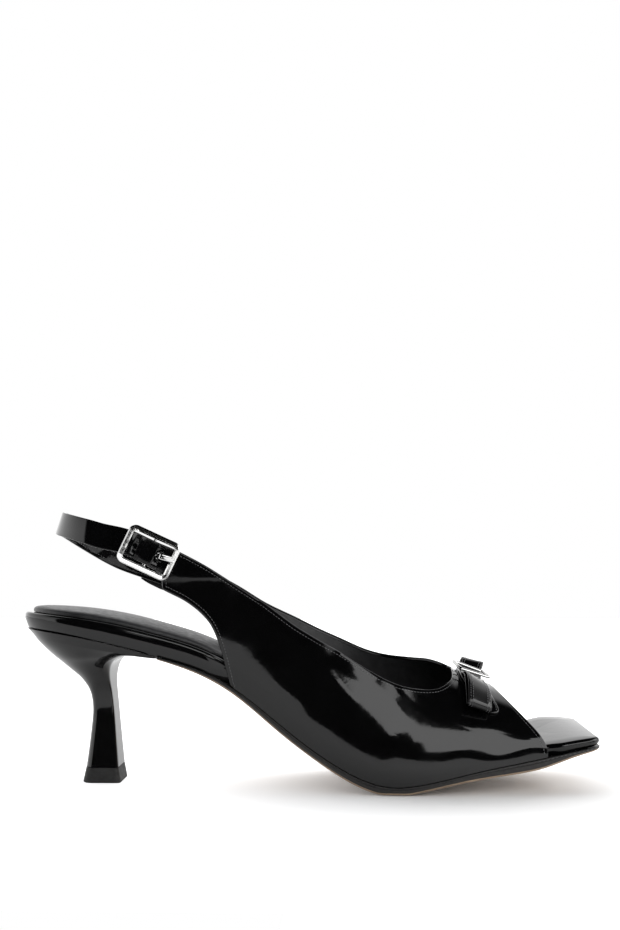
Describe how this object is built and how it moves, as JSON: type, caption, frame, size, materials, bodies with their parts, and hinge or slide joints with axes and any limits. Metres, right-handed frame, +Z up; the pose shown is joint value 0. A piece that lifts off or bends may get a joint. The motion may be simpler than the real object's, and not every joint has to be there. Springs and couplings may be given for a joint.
{
  "type": "high heel shoe",
  "caption": "Open-toe slingback shoe for the right foot, in black patent leather, with a square toe, a flared heel, a bow on the vamp and a buckled strap round the back.",
  "frame": {"origin": "middle of the shoe's box, on the floor", "axes": "+X from the heel to the toe, +Y from the outer to the inner side, +Z up"},
  "size_m": [0.2294, 0.0756, 0.1096],
  "materials": {
    "black_patent": "high-gloss lacquered leather",
    "black_gloss_heel": "high gloss, over a moulded core",
    "black_sole_edge": "dark painted edge, tan underside",
    "grey_sock": "satin lining leather",
    "black_rubber": "matte",
    "bright_metal": "polished plating"
  },
  "bodies": {
    "root": {"outsole": "black_sole_edge", "insole": "black_patent", "sock": "grey_sock", "heel": "black_gloss_heel", "heel_top_lift": "black_rubber", "upper": "black_patent", "sling_strap": "black_patent", "sling_buckle_frame": "bright_metal", "sling_buckle_pin": "bright_metal", "sling_buckle_prong": "bright_metal", "bow_tails": "black_patent", "bow_band": "black_patent", "bow_buckle_frame": "bright_metal"}
  },
  "joints": []
}
